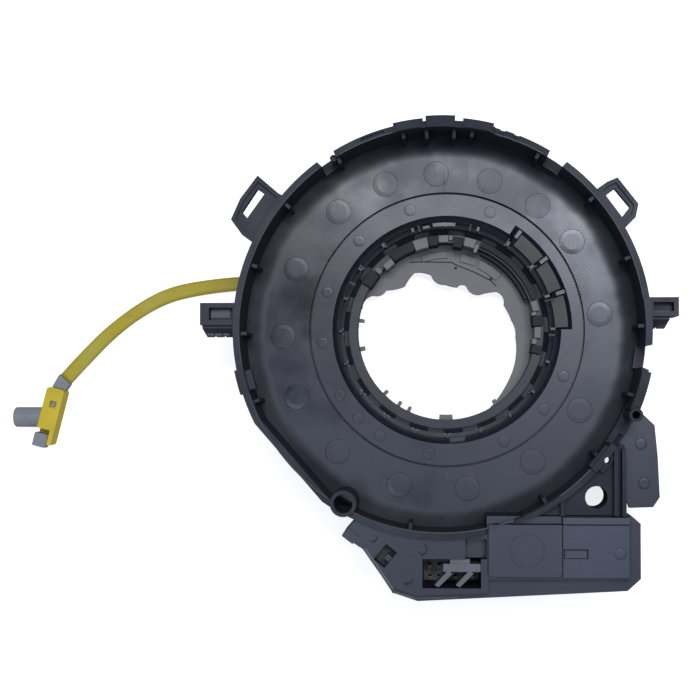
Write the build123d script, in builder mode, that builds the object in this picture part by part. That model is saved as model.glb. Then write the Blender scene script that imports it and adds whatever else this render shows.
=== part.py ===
from build123d import *
from math import cos, radians, sin, tan
import os

# Steering clock spring, seen as it lies on its wheel side. Millimetres, +Z towards the column.
# The origin is on the turning axis, in the wheel-side face of the rotor disc.

# Driving sizes: the stator
housing_radius = 55.2
skirt_wall = 1.8
skirt_height = 18.0
plate_thick = 2.0
chamber_height = 15.5
drum_wall = 1.6
rib_count = 18
rib_thick = 0.9
rib_depth = 1.6
flat_direction = 221.0
flat_depth = 1.7

# The column seat is not quite centred: the turning axis as seen from the middle of the skirt
axis_place = (1.5, 0.6)

# Driving sizes: the rotor
bore_radius = 25.0
collar_width = 6.2
collar_height = 7.0
tube_wall = 2.2
flange_width = 3.7
disc_thick = 2.0
front_depth = 9.0
running_gap = 0.5
side_gap = 0.6
seat_gap = 0.1
case_gap = 0.3

# Driving sizes: the terminal box, and how far its back lies inside the skirt's radius
cover_thick = 2.0
box_front = 3.0
box_top_drop = 4.0
box_inset = 5.9

# Levels and radii that follow from them
drum_front = disc_thick + running_gap
plate_under = drum_front + chamber_height
plate_top = plate_under + plate_thick
rim_top = plate_top + skirt_height
box_top = rim_top - box_top_drop
box_back_y = box_inset - housing_radius
floor_level = -front_depth
skirt_inner = housing_radius - skirt_wall
to_axis = Location((-axis_place[0], -axis_place[1], 0))
drum_outer = housing_radius - flat_depth - 2 * running_gap
drum_inner = drum_outer - drum_wall
disc_radius = drum_outer
tube_inner = bore_radius + collar_width
tube_radius = tube_inner + tube_wall
flange_outer = tube_radius + flange_width
window_radius = flange_outer + side_gap


def polar(radius, angle):
    """Point at a radius and an angle in degrees about the turning axis."""
    return (radius * cos(radians(angle)), radius * sin(radians(angle)))


def ring_face(inner, outer, start, stop, level):
    """Flat piece of a ring between two angles, at one level."""
    with BuildSketch(Plane.XY.offset(level)) as face:
        with BuildLine():
            far = CenterArc((0, 0), outer, start, stop - start)
            near = CenterArc((0, 0), inner, start, stop - start)
            Line(far @ 0, near @ 0)
            Line(far @ 1, near @ 1)
        make_face()
    return face.sketch


def arc_block(inner, outer, start, stop, low, high, mode=Mode.ADD):
    """Block bent to a ring between two angles, added to or cut from the part being built."""
    extrude(ring_face(inner, outer, start, stop, low), amount=high - low, mode=mode)


def outline_block(points, low, high, mode=Mode.ADD):
    """Straight-sided block on an outline, added to or cut from the part being built."""
    with BuildSketch(Plane.XY.offset(low)) as face:
        with BuildLine():
            Polyline(points, close=True)
        make_face()
    extrude(face.sketch, amount=high - low, mode=mode)


def box_block(x_range, y_range, z_range, mode=Mode.ADD):
    """Square block between two corners, added to or cut from the part being built."""
    (x0, x1), (y0, y1), (z0, z1) = x_range, y_range, z_range
    with Locations((x0, y0, z0)):
        Box(x1 - x0, y1 - y0, z1 - z0, align=Align.MIN, mode=mode)


def round_block(centre, radius, low, high, mode=Mode.ADD):
    """Upright cylinder between two levels, added to or cut from the part being built."""
    with Locations((centre[0], centre[1], low)):
        Cylinder(radius, high - low, align=(Align.CENTER, Align.CENTER, Align.MIN), mode=mode)


def turned_block(profile, start=0.0, sweep=360.0, mode=Mode.ADD):
    """Solid turned about the axis from a radius and height outline."""
    with BuildSketch(Plane.XZ.rotated((0, 0, start))) as face:
        with BuildLine():
            Polyline(profile, close=True)
        make_face()
    revolve(face.sketch, axis=Axis.Z, revolution_arc=sweep, mode=mode)


def flattened_disc(radius, level, height, mode=Mode.ADD):
    """Round slab with the skirt's one flattened side, added to or cut from the part being built."""
    flat = radius - flat_depth
    with BuildSketch(Plane.XY.offset(level)) as face:
        Circle(radius)
        with Locations(Location((*polar(flat + radius, flat_direction), 0), (0, 0, flat_direction))):
            Rectangle(2 * radius, 2 * radius, mode=Mode.SUBTRACT)
    extrude(face.sketch, amount=height, mode=mode)


def behind(points):
    """Outline points from their side places and their depths behind the terminal box's back line."""
    return [(x, box_back_y - depth) for x, depth in points]


# Stator case: back plate, skirt, mounting ears, side clips, screw bracket
lip_inner = tube_radius + side_gap + 0.2
lip_outer = window_radius + 1.2
lip_drop = 1.5
mark_depth = 0.25
mark_radius = 3.4
mark_circle = window_radius + 5.7
mark_angles = (156.5, 130.4, 110.6, 91.7, 72, 52.5, 34.5, 6.3, -29.7, -55, -80.5, -105.2, -130.8, -155.7, 181.6)

bracket_top = rim_top - 4.5
bracket_thick = 2.5
bracket_edge_x = housing_radius - 6.9
bracket_end_y = 24.7 - housing_radius
bracket_outline = [(13.0, box_back_y + case_gap), (bracket_edge_x, box_back_y + case_gap),
                   (bracket_edge_x, bracket_end_y), (bracket_edge_x - 3.7, bracket_end_y + 1.5),
                   (20.0, bracket_end_y - 9.5)]
box_left_x = 11.9
box_right_x = 27.0
screw_place = (housing_radius - 14.4, box_back_y + 5.0)
screw_hole_radius = 2.95
screw_boss_radius = 4.6
screw_boss_length = 11.0
guard_thick = 1.1
guard_gap = 1.0

boss_place = polar(housing_radius - 2.5, 240.56)
boss_radius = 3.5
boss_bore = 2.5
boss_depth = 14.0
boss_rise = 0.4

post_place = polar(housing_radius + 0.27, -23.93)
post_radius = 1.8
post_bore = 1.05
post_depth = 8.0
post_rise = 0.8
post_gap = (326.0, 337.0)
post_foot = (330.0, 336.6)
post_foot_rise = 2.5

ear_thick = 2.6
ear_lip = 1.1
ear_lip_wall = 1.1
ear_top = rim_top - 2.5
left_ear_angle = 146.5
right_ear_angle = 36.5
left_ear = [(-6.6, 0.0), (-6.5, 1.5), (-7.4, 8.7), (0.3, 9.2), (6.3, 8.2), (8.1, 3.4), (8.2, 0.0)]
left_ear_slot = [(-4.4, 4.6), (-4.4, 6.9), (3.0, 6.9), (3.6, 4.9)]
right_ear = [(-7.3, 0.0), (-6.7, 3.9), (-4.3, 6.6), (4.6, 6.4), (5.3, 3.5), (5.4, 0.0)]
right_ear_slot = [(-4.7, 0.7), (-3.6, 4.5), (2.7, 4.2), (2.7, 0.7)]

clip_top = rim_top - 1.5
clip_depth = 12.0
clip_pocket = 3.6
clip_wall = 1.3
clip_end_wall = 2.4
left_clip_x = (-housing_radius - 8.9, 0.8 - housing_radius)
left_clip_y = (1.3, 7.2)
right_clip_x = (housing_radius - 1.2, housing_radius + 7.0)
right_clip_y = (3.4, 8.4)
gusset_drop = 1.6
gusset_reach = 2.9
gusset_grooves = (2.6, 5.2)
groove_width = 0.35

post_line = post_place[1]
side_tab = [(housing_radius - 5.2, post_line + 2.0), (housing_radius - 1.2, post_line + 0.6),
            (housing_radius + 2.6, post_line - 3.0), (housing_radius + 3.4, post_line - 11.5),
            (housing_radius + 3.9, box_back_y + 4.3), (housing_radius + 2.1, box_back_y + 1.6),
            (housing_radius - 4.3, box_back_y + 1.4), (housing_radius - 6.2, box_back_y + 7.3),
            (housing_radius - 11.2, post_line - 7.5)]
tab_rise_over_plate = 1.0

notches = ((53.0, 58.8, 12.5, 0.6), (120.8, 126.8, 12.0, 1.1), (348.4, 356.0, 14.0, 1.3))
sill_thick = 1.1
sill_reach = 0.9
slits = (68.7, 72.8)
slit_width = 1.3
slit_depth = 3.0
tabs = ((75.5, 84.0), (95.0, 103.2), (337.5, 348.2))
tab_rise = 1.2
tab_proud = 0.7
tab_depth = 6.0
latch_span = (86.2, 94.2)
latch_rise = 1.0
latch_drop = 3.4
latch_rib_reach = 2.4
latch_niche = 0.8
hook_span = (191.2, 198.0)
hook_reach = 1.8
groove_span = (106.0, 113.0)
upper_rim = (8.6, 75.0, 1.4)
lower_rim = (242.5, 317.0, 1.0)
tongue_span = (317.2, 324.8)
bar_span = (291.0, 305.0)


def notch_outline(start, stop, lean):
    """Outline of a rim notch that is narrower on the inside of the skirt."""
    return [polar(skirt_inner - 2.0, start + lean), polar(skirt_inner - 2.0, stop - lean),
            polar(housing_radius + 1.5, stop), polar(housing_radius + 1.5, start)]


def ear(angle, outline, slot):
    """Mounting ear outside the skirt: a slotted slab with a raised lip round its edge."""
    plane = Plane(origin=(*polar(housing_radius - 0.4, angle), ear_top - ear_lip),
                  x_dir=(-sin(radians(angle)), cos(radians(angle)), 0), z_dir=(0, 0, 1))
    with BuildSketch(plane) as slab:
        with BuildLine():
            Polyline([(across, -out) for across, out in outline], close=True)
        make_face()
        with BuildLine():
            Polyline([(across, -out) for across, out in slot], close=True)
        make_face(mode=Mode.SUBTRACT)
    extrude(slab.sketch, amount=-ear_thick)
    with BuildSketch(plane) as lip:
        with BuildLine():
            Polyline([(across, -out) for across, out in outline], close=True)
        make_face()
        offset(amount=-ear_lip_wall, kind=Kind.INTERSECTION, mode=Mode.SUBTRACT)
    extrude(lip.sketch, amount=ear_lip)


def clip(x_range, y_range, outward):
    """Side clip: a pocketed block with a wedge-shaped gusset along one side."""
    low = clip_top - clip_depth
    box_block(x_range, y_range, (low, clip_top))
    pocket_y = (y_range[0] + clip_wall, y_range[1] - clip_wall)
    if outward < 0:
        pocket_x = (x_range[0] + clip_end_wall, -housing_radius - 0.2)
        gusset_x = (x_range[0] + 0.4, x_range[1])
    else:
        pocket_x = (housing_radius + 0.4, x_range[1] - clip_wall)
        gusset_x = (x_range[0], x_range[1] - 2.2)
    box_block(pocket_x, pocket_y, (clip_top - clip_pocket, clip_top + 1.0), mode=Mode.SUBTRACT)
    with BuildSketch(Plane.YZ.offset(gusset_x[0])) as wedge:
        with BuildLine():
            Polyline([(y_range[0] + 0.2, clip_top - gusset_drop), (y_range[0] - 0.8, clip_top - gusset_drop),
                      (y_range[0] - gusset_reach, low), (y_range[0] + 0.2, low)], close=True)
        make_face()
    extrude(wedge.sketch, amount=gusset_x[1] - gusset_x[0])
    for place in gusset_grooves:
        groove_x = x_range[0] + place if outward < 0 else x_range[1] - 2.2 - place
        box_block((groove_x, groove_x + groove_width), (y_range[0] - gusset_reach - 0.1, y_range[0] - gusset_reach + 0.3),
                  (low - 1.0, clip_top), mode=Mode.SUBTRACT)


with BuildPart() as stator_case:
    flattened_disc(housing_radius, plate_under, plate_thick + skirt_height)
    outline_block(bracket_outline, bracket_top - bracket_thick, bracket_top)
    round_block(screw_place, screw_boss_radius, bracket_top - screw_boss_length, bracket_top)
    # Two walls beside the bracket guide the switch cable
    for guard_x in (bracket_edge_x - guard_gap - 2 * guard_thick, bracket_edge_x - guard_thick):
        box_block((guard_x, guard_x + guard_thick), (box_back_y + case_gap, bracket_end_y - 1.0),
                  (bracket_top - 8.0, rim_top - 1.0))
    rib_x = screw_place[0] - 9.6
    box_block((rib_x, rib_x + 1.0), (box_back_y + case_gap, screw_place[1] - 0.1), (bracket_top - 1.0, rim_top - 2.0))
    # Raised tabs, the top latch and the left hook stand on the rim
    for start, stop in tabs:
        arc_block(skirt_inner - 0.3, housing_radius + tab_proud, start, stop, rim_top - tab_depth,
                  rim_top + tab_rise - 0.6)
        arc_block(skirt_inner + 0.1, housing_radius + tab_proud - 0.3, start + 0.7, stop - 0.7, rim_top - 1.0,
                  rim_top + tab_rise)
    arc_block(skirt_inner - 0.8, housing_radius + 1.2, *latch_span, rim_top - latch_drop, rim_top + latch_rise)
    arc_block(skirt_inner - 1.6, housing_radius + tab_proud, *hook_span, rim_top - tab_depth, rim_top - 0.6)
    flattened_disc(skirt_inner, plate_top, skirt_height + 5.0, mode=Mode.SUBTRACT)
    arc_block(skirt_inner - hook_reach, skirt_inner + 0.4, hook_span[0] + 0.6, hook_span[1] - 0.6,
              rim_top - tab_depth, rim_top - 2.6)
    # The rim steps down on the upper right and along the terminal box
    for start, stop, drop in (upper_rim, lower_rim):
        arc_block(skirt_inner - 2.0, housing_radius + 0.3, start, stop, rim_top - drop, rim_top + 3.0,
                  mode=Mode.SUBTRACT)
    # The skirt opens for the terminal box and for the hollow post
    box_block((box_left_x - case_gap, box_right_x), (-housing_radius - 5.0, box_back_y + case_gap),
              (plate_top, rim_top + 3.0), mode=Mode.SUBTRACT)
    arc_block(skirt_inner - 2.0, housing_radius + 0.5, *post_gap, plate_top + 4.0, rim_top + 3.0, mode=Mode.SUBTRACT)
    # Inner ribs stiffen the skirt at an even pitch, but not at the terminal box
    for step in range(rib_count):
        angle = 1.0 + step * 360.0 / rib_count
        if step in (12, 14):
            continue
        with Locations(Location((*polar(skirt_inner - rib_depth / 2 + 0.1, angle), plate_top), (0, 0, angle))):
            Box(rib_depth + 0.2, rib_thick, skirt_height - 3.0,
                align=(Align.CENTER, Align.CENTER, Align.MIN))
    # The latch has a niche under it, between two deeper ribs
    arc_block(skirt_inner - 0.2, skirt_inner + latch_niche, *latch_span, plate_top, rim_top - latch_drop - 1.0,
              mode=Mode.SUBTRACT)
    for angle in latch_span:
        with Locations(Location((*polar(skirt_inner - latch_rib_reach / 2 + 0.2, angle), plate_top), (0, 0, angle))):
            Box(latch_rib_reach + 0.4, rib_thick, skirt_height - latch_drop,
                align=(Align.CENTER, Align.CENTER, Align.MIN))
    # Notches in the rim, each with a sill inside, then the narrow slits and the seal groove
    for start, stop, depth, lean in notches:
        outline_block(notch_outline(start, stop, lean), rim_top - depth, rim_top + 3.0, mode=Mode.SUBTRACT)
        arc_block(skirt_inner - sill_reach, skirt_inner + 0.4, start + lean / 2, stop - lean / 2,
                  rim_top - depth - sill_thick, rim_top - depth)
    curl_place = polar(skirt_inner + 0.5, notches[1][0] + notches[1][3] + 0.2)
    round_block(curl_place, 0.9, rim_top - notches[1][2] - sill_thick, rim_top - 2.2)
    for angle in slits:
        with Locations(Location((*polar(housing_radius, angle), rim_top - slit_depth), (0, 0, angle))):
            Box(6.0, slit_width, 6.0, align=(Align.CENTER, Align.CENTER, Align.MIN), mode=Mode.SUBTRACT)
    arc_block(skirt_inner + 0.6, housing_radius - 0.5, *groove_span, rim_top - 1.0, rim_top + 1.0,
              mode=Mode.SUBTRACT)
    arc_block(skirt_inner - 0.9, skirt_inner + 0.3, *tongue_span, bracket_top - 1.5, rim_top - 1.0)
    arc_block(skirt_inner + 1.2, housing_radius + 1.6, tongue_span[0] + 1.0, tongue_span[1] - 1.0,
              bracket_top - 1.0, rim_top - 2.4)
    arc_block(skirt_inner + 0.2, housing_radius - 0.4, *bar_span, rim_top - 4.0, rim_top)
    with Locations(Location((*polar(housing_radius + 0.2, 321.6), bracket_top - 4.0), (0, 0, 20.0))):
        Cylinder(0.9, 12.0, align=(Align.CENTER, Align.CENTER, Align.MIN), mode=Mode.SUBTRACT)
    # Mounting ears and side clips outside the skirt
    ear(left_ear_angle, left_ear, left_ear_slot)
    ear(right_ear_angle, right_ear, right_ear_slot)
    clip(left_clip_x, left_clip_y, -1)
    clip(right_clip_x, right_clip_y, 1)
    # Low side tab beyond the skirt, guide boss and hollow post
    outline_block(side_tab, plate_under, plate_top + tab_rise_over_plate)
    round_block(boss_place, boss_radius, plate_top, rim_top + boss_rise)
    round_block(boss_place, boss_bore, rim_top + boss_rise - boss_depth, rim_top + 2.0, mode=Mode.SUBTRACT)
    arc_block(skirt_inner, housing_radius + 1.4, *post_foot, plate_under, plate_top + post_foot_rise)
    round_block(post_place, post_radius, plate_top, rim_top + post_rise)
    round_block(post_place, post_bore, rim_top + post_rise - post_depth, rim_top + 2.0, mode=Mode.SUBTRACT)
    # Inner seat for the rotor sleeve, then the window and the ejector marks
    round_block(axis_place, lip_outer, plate_under - lip_drop, plate_under)
    round_block(axis_place, window_radius, plate_under, plate_top + 1.0, mode=Mode.SUBTRACT)
    round_block(axis_place, lip_inner, plate_under - lip_drop - 1.0, plate_top + 1.0, mode=Mode.SUBTRACT)
    for angle in mark_angles:
        round_block(polar(mark_circle, angle), mark_radius, plate_top - mark_depth, plate_top + 1.0,
                    mode=Mode.SUBTRACT)
    round_block(screw_place, screw_hole_radius, bracket_top - screw_boss_length - 1.0, bracket_top + 2.0,
                mode=Mode.SUBTRACT)
os.makedirs("parts", exist_ok=True)
stator_case.part.move(to_axis)
stator_case.part.label = "stator_case"
export_step(stator_case.part, "parts/stator_case.step")

# Cable drum: the chamber's outer wall under the back plate, with its latch flange
flange_span = (180.5, 190.3)
flange_radius = housing_radius + 3.2
flange_thick = 2.6
drum_slot = (286.0, 292.0)
slot_levels = (drum_front + 2.5, plate_under - 2.0)

with BuildPart() as cable_drum:
    turned_block([(drum_inner, drum_front), (drum_outer, drum_front), (drum_outer, plate_under),
                  (drum_inner, plate_under)])
    arc_block(drum_outer - 0.4, flange_radius, *flange_span, plate_under - flange_thick, plate_under)
    arc_block(drum_inner - 1.0, drum_outer + 1.0, *drum_slot, *slot_levels, mode=Mode.SUBTRACT)
cable_drum.part.label = "cable_drum"
export_step(cable_drum.part, "parts/cable_drum.step")

# Glide sheet between the wound cable and the back plate
sheet_thick = 0.35
with BuildPart() as glide_sheet:
    round_block((0, 0), drum_inner - 0.2, plate_under - sheet_thick, plate_under)
    round_block((0, 0), lip_outer + 0.4 + axis_place[0], plate_under - 1.0, plate_under + 1.0, mode=Mode.SUBTRACT)
glide_sheet.part.label = "glide_sheet"
export_step(glide_sheet.part, "parts/glide_sheet.step")

# Cable tail: the outer end of the flat cable, lying on the drum wall
tail_thick = 0.4
tail_span = (240.0, 289.0)
with BuildPart() as cable_tail:
    arc_block(drum_inner - tail_thick, drum_inner, *tail_span, drum_front + 2.1, plate_under - 1.0)
cable_tail.part.label = "cable_tail"
export_step(cable_tail.part, "parts/cable_tail.step")

# Terminal box: the column connector's housing, hung outside the skirt. Its outlines are side places
# and depths behind its back line
box_outline = [(-22.8, 1.1), (-26.7, 5.6), (-21.1, 9.2), (-16.3, 16.0), (-13.1, 20.8), (-6.4, 23.0),
               (49.3, 20.0), (52.8, 16.8), (52.8, 2.2), (50.3, 0.0), (box_left_x, 0.0), (box_left_x, 1.1)]
box_upper = [(-22.8, 1.1), (-26.4, 5.4), (-20.4, 9.0), (-15.5, 15.6), (-12.6, 19.0), (-6.4, 21.0),
             (12.3, 20.4), (12.3, 16.7), (49.7, 16.4), (49.7, 0.0), (box_left_x, 0.0), (box_left_x, 1.1)]
box_hollow = [(-19.0, 0.7), (-23.0, 5.4), (-18.8, 7.7), (-14.0, 14.6), (-11.1, 17.9), (-8.0, 18.9), (-8.0, 0.7)]
corner_pad = [(-26.2, 5.5), (-24.4, 3.4), (-21.9, 5.6), (-23.6, 7.5)]
pad_rise = 0.6
step_level = box_top - 4.0
left_plate_thick = 3.0
cavity_x = (13.6, 47.9)
cavity_y = (box_back_y - 14.6, box_back_y - 1.9)
cavity_floor = box_front + 2.0
pocket_x = (-5.1, 10.4)
pocket_y = (box_back_y - 19.1, box_back_y - 11.4)
pocket_floor = box_top - 18.0
gap_x = (6.2, 11.9)
gap_y = (pocket_y[1], box_back_y - 6.0)
gap_depth = 5.0
window_place = (-14.9, box_back_y - 10.6)
window_size = (5.3, 3.7)
window_turn = 50.0
window_depth = 6.0
plate_marks = (((-18.3, 5.9), 1.2), ((-4.8, 9.0), 1.5), ((3.8, 9.2), 1.9), ((-8.7, 17.6), 1.3))

with BuildPart() as terminal_box:
    outline_block(behind(box_outline), box_front, step_level)
    outline_block(behind(box_upper), step_level, box_top)
    outline_block(behind(corner_pad), box_top - 0.1, box_top + pad_rise)
    outline_block(behind(box_hollow), box_front - 1.0, box_top - left_plate_thick, mode=Mode.SUBTRACT)
    box_block(cavity_x, cavity_y, (cavity_floor, box_top + 1.0), mode=Mode.SUBTRACT)
    box_block(pocket_x, pocket_y, (pocket_floor, box_top + 1.0), mode=Mode.SUBTRACT)
    box_block(gap_x, gap_y, (box_top - gap_depth, box_top + 1.0), mode=Mode.SUBTRACT)
    # A slanted window with a small inner tab, and the mould marks on the left plate
    with Locations(Location((*window_place, box_top - window_depth), (0, 0, window_turn))):
        Box(*window_size, window_depth + 2.0, align=(Align.CENTER, Align.CENTER, Align.MIN), mode=Mode.SUBTRACT)
    with Locations(Location((*window_place, box_top - window_depth), (0, 0, window_turn))):
        with Locations((0, -window_size[1] / 2 + 0.8, 0)):
            Box(1.6, 1.8, window_depth - 1.4, align=(Align.CENTER, Align.CENTER, Align.MIN))
    for (mark_x, mark_behind), radius in plate_marks:
        round_block((mark_x, box_back_y - mark_behind), radius, box_top - mark_depth, box_top + 1.0, mode=Mode.SUBTRACT)
    # The box hooks round the drum and the edge of the back plate
    round_block(axis_place, drum_outer + seat_gap, box_front - 1.0, plate_under - seat_gap, mode=Mode.SUBTRACT)
    round_block((0, 0), housing_radius + seat_gap, plate_under - 2 * seat_gap, plate_top, mode=Mode.SUBTRACT)
    with BuildSketch(Plane.XY.offset(plate_top - 0.5)) as skirt_clear:
        Circle(housing_radius + case_gap)
        with Locations((box_left_x + housing_radius, 0)):
            Rectangle(2 * housing_radius, 3 * housing_radius, mode=Mode.SUBTRACT)
    extrude(skirt_clear.sketch, amount=skirt_height, mode=Mode.SUBTRACT)
    round_block(boss_place, boss_radius + case_gap, box_front - 1.0, rim_top + 2.0, mode=Mode.SUBTRACT)
terminal_box.part.move(to_axis)
terminal_box.part.label = "terminal_box"
export_step(terminal_box.part, "parts/terminal_box.step")

# Terminal cover and end cover close the box over the contacts
cover_split = 31.6
cover_plug = 2.0
cover_x = (12.3, 49.5)
cover_y = (box_back_y - 15.8, box_back_y - 2.1)
plug_y = (cavity_y[0] + seat_gap, cavity_y[1] - seat_gap - 0.2)
mark_place = (22.4, sum(cover_y) / 2)
cover_mark_radius = 4.5
cover_corner = 0.8
with BuildPart() as terminal_cover:
    box_block((cover_x[0], cover_split), cover_y, (box_top, box_top + cover_thick))
    box_block((cavity_x[0] + seat_gap, cover_split), plug_y, (box_top - cover_plug, box_top))
    round_block(mark_place, cover_mark_radius, box_top + cover_thick - mark_depth, box_top + cover_thick + 1.0,
                mode=Mode.SUBTRACT)
    chamfer(terminal_cover.edges().filter_by(Axis.Z).sort_by(Axis.Y)[:2], cover_corner)
terminal_cover.part.move(to_axis)
terminal_cover.part.label = "terminal_cover"
export_step(terminal_cover.part, "parts/terminal_cover.step")

end_thick = 1.2
end_lip = 0.8
end_x = (cover_split + seat_gap, cover_x[1])
recess_x = (cover_split + 0.6, cover_split + 6.7)
recess_y = (box_back_y - 11.0, box_back_y - 8.7)
with BuildPart() as end_cover:
    box_block(end_x, (cover_y[0] - 0.3, box_back_y - 0.1), (box_top, box_top + end_thick))
    box_block((end_x[0], cavity_x[1] - seat_gap), plug_y, (box_top - cover_plug, box_top))
    box_block(end_x, (cover_y[1], box_back_y - 0.1), (box_top, box_top + end_thick + end_lip))
    box_block(recess_x, recess_y, (box_top + end_thick / 2, box_top + 4.0), mode=Mode.SUBTRACT)
end_cover.part.move(to_axis)
end_cover.part.label = "end_cover"
export_step(end_cover.part, "parts/end_cover.step")

# Terminal carrier with the contact blades inside the box
carrier_thick = 1.6
blade_height = 14.0
with BuildPart() as terminal_carrier:
    box_block((cavity_x[0] + 0.4, cavity_x[1] - 0.4), (cavity_y[0] + 0.4, cavity_y[1] - 0.4),
              (cavity_floor, cavity_floor + carrier_thick))
    with Locations((sum(cavity_x) / 2, sum(cavity_y) / 2, cavity_floor + carrier_thick)):
        with GridLocations(4.4, 5.0, 7, 2):
            Box(2.0, 0.6, blade_height, align=(Align.CENTER, Align.CENTER, Align.MIN))
terminal_carrier.part.move(to_axis)
terminal_carrier.part.label = "terminal_carrier"
export_step(terminal_carrier.part, "parts/terminal_carrier.step")

# Column connector: pin header in the pocket, and the claw that locks the plug
header_thick = 1.4
pin_size = 0.64
column_pin_length = 6.0
with BuildPart() as column_pins:
    box_block((pocket_x[0] + 0.4, pocket_x[1] - 0.4), (pocket_y[0] + 0.3, pocket_y[1] - 1.8),
              (pocket_floor, pocket_floor + header_thick))
    with Locations((sum(pocket_x) / 2, pocket_y[0] + 3.2, pocket_floor + header_thick)):
        with GridLocations(2.3, 3.0, 6, 2):
            Box(pin_size, pin_size, column_pin_length, align=(Align.CENTER, Align.CENTER, Align.MIN))
column_pins.part.move(to_axis)
column_pins.part.label = "column_pins"
export_step(column_pins.part, "parts/column_pins.step")

claw_top = box_top - 0.6
claw_low = box_top - 6.0
claw_bar_y = (pocket_y[1] - 3.4, pocket_y[1] - 1.3)
finger_root = claw_bar_y[0]
finger = [(-1.9, finger_root - 3.5), (-0.8, finger_root - 4.1), (2.9, finger_root - 0.5), (2.0, finger_root + 0.2),
          (1.5, finger_root + 0.2)]
finger_pitch = 5.6
with BuildPart() as connector_claw:
    box_block((0.4, pocket_x[1] - seat_gap), claw_bar_y, (claw_low, claw_top))
    box_block((2.2, 7.5), (claw_bar_y[1] - 0.1, pocket_y[1] - seat_gap), (pocket_floor, claw_top - 0.4))
    for shift in (0.0, finger_pitch):
        outline_block([(x + shift, y) for x, y in finger], claw_low, claw_top)
connector_claw.part.move(to_axis)
connector_claw.part.label = "connector_claw"
export_step(connector_claw.part, "parts/connector_claw.step")

# Places of the wheel-side sockets and of the lead outlet, and the pads that carry them
hub_outer = tube_radius + 2.6
wheel_size = (24.0, 12.0)
wheel_place = (0.0, -(hub_outer + 1.4 + wheel_size[1] / 2))
aux_size = (12.0, 10.0)
aux_place = polar(hub_outer + 8.6, 19.65)
outlet_x = (-44.0, -36.4)
outlet_y = 15.0
outlet_width = 7.4
pad_level = -1.6

# Rotor: disc, collar, inner tube and the lip that closes the cable chamber
tube_top = plate_under - 4.5
face_rib_count = 16
face_rib_drop = 1.4
face_rib_span = (hub_outer + 0.6, disc_radius - 1.1)
labyrinth = (drum_inner - 1.3, drum_inner - 0.3)
labyrinth_rise = 1.8
relief = (bore_radius + 1.8, tube_inner - 0.6)
rim_width = 1.3
with BuildPart() as rotor:
    turned_block([(bore_radius, 0), (disc_radius, 0), (disc_radius, disc_thick), (tube_radius, disc_thick),
                  (tube_radius, tube_top), (tube_inner, tube_top), (tube_inner, collar_height),
                  (bore_radius, collar_height)])
    turned_block([(labyrinth[0], disc_thick), (labyrinth[1], disc_thick),
                  (labyrinth[1], disc_thick + labyrinth_rise), (labyrinth[0], disc_thick + labyrinth_rise)])
    turned_block([(relief[0], -1.0), (relief[1], -1.0), (relief[1], collar_height - 1.6),
                  (relief[0], collar_height - 1.6)], mode=Mode.SUBTRACT)
    turned_block([(disc_radius - rim_width, pad_level), (disc_radius, pad_level), (disc_radius, 0),
                  (disc_radius - rim_width, 0)])
    with PolarLocations(sum(face_rib_span) / 2, face_rib_count, start_angle=5.0):
        Box(face_rib_span[1] - face_rib_span[0], 1.0, face_rib_drop, align=(Align.CENTER, Align.CENTER, Align.MAX))
    for place, size in ((wheel_place, wheel_size), (aux_place, aux_size),
                        ((sum(outlet_x) / 2, outlet_y), (outlet_x[1] - outlet_x[0], outlet_width))):
        box_block((place[0] - size[0] / 2, place[0] + size[0] / 2), (place[1] - size[1] / 2, place[1] + size[1] / 2),
                  (pad_level, 0.5))
rotor.part.label = "rotor"
export_step(rotor.part, "parts/rotor.step")

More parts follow.
